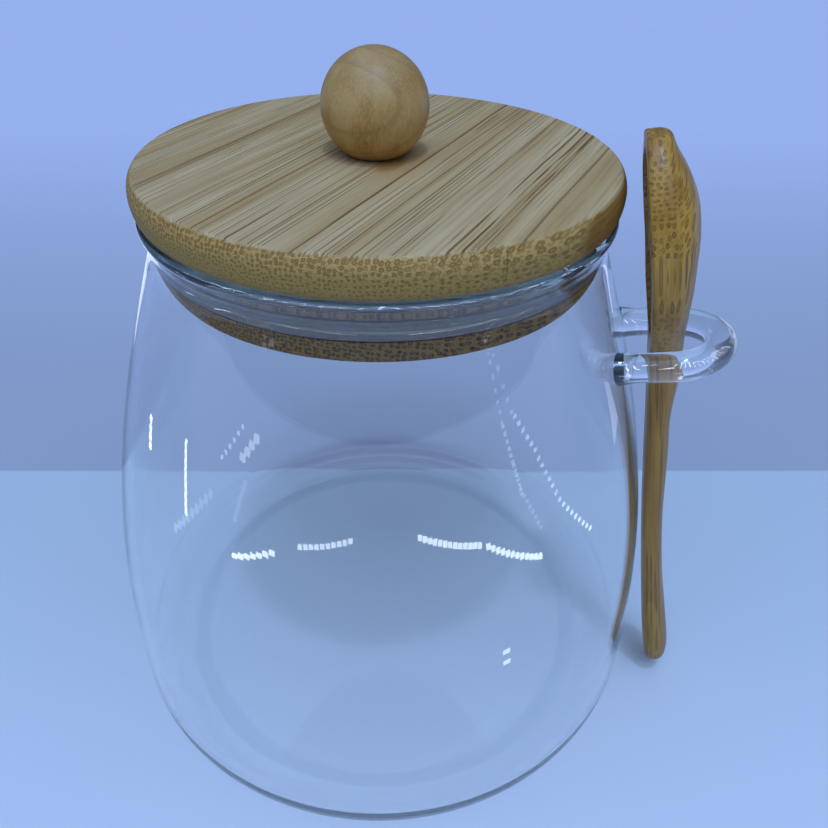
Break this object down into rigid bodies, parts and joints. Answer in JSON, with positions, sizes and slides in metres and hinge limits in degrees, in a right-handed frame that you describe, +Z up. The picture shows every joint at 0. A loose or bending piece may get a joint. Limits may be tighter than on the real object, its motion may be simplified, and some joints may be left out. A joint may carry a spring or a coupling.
{
  "type": "storage jar",
  "caption": "Clear glass storage jar with a turned bamboo lid, soft seal and ball knob, and a bamboo spoon that hangs bowl up in a glass loop on its flank.",
  "frame": {"origin": "on the jar's axis, in the flat face it stands on", "axes": "+Z up along the jar's axis, +X from the axis towards the glass loop and the spoon, +Y by the right-hand rule"},
  "size_m": [0.146, 0.1332, 0.1512],
  "materials": {
    "jar_glass": "clear blown glass, polished",
    "lid_bamboo": "laminated bamboo, sanded, clear satin lacquer",
    "lid_seal": "translucent grey silicone, smooth",
    "knob_wood": "turned fine-grained wood, clear satin lacquer",
    "spoon_bamboo": "carved bamboo, clear gloss lacquer"
  },
  "bodies": {
    "root": {"jar_glass": "jar_glass", "lid": "lid_bamboo", "lid_seal": "lid_seal", "knob": "knob_wood", "spoon": "spoon_bamboo"}
  },
  "joints": []
}
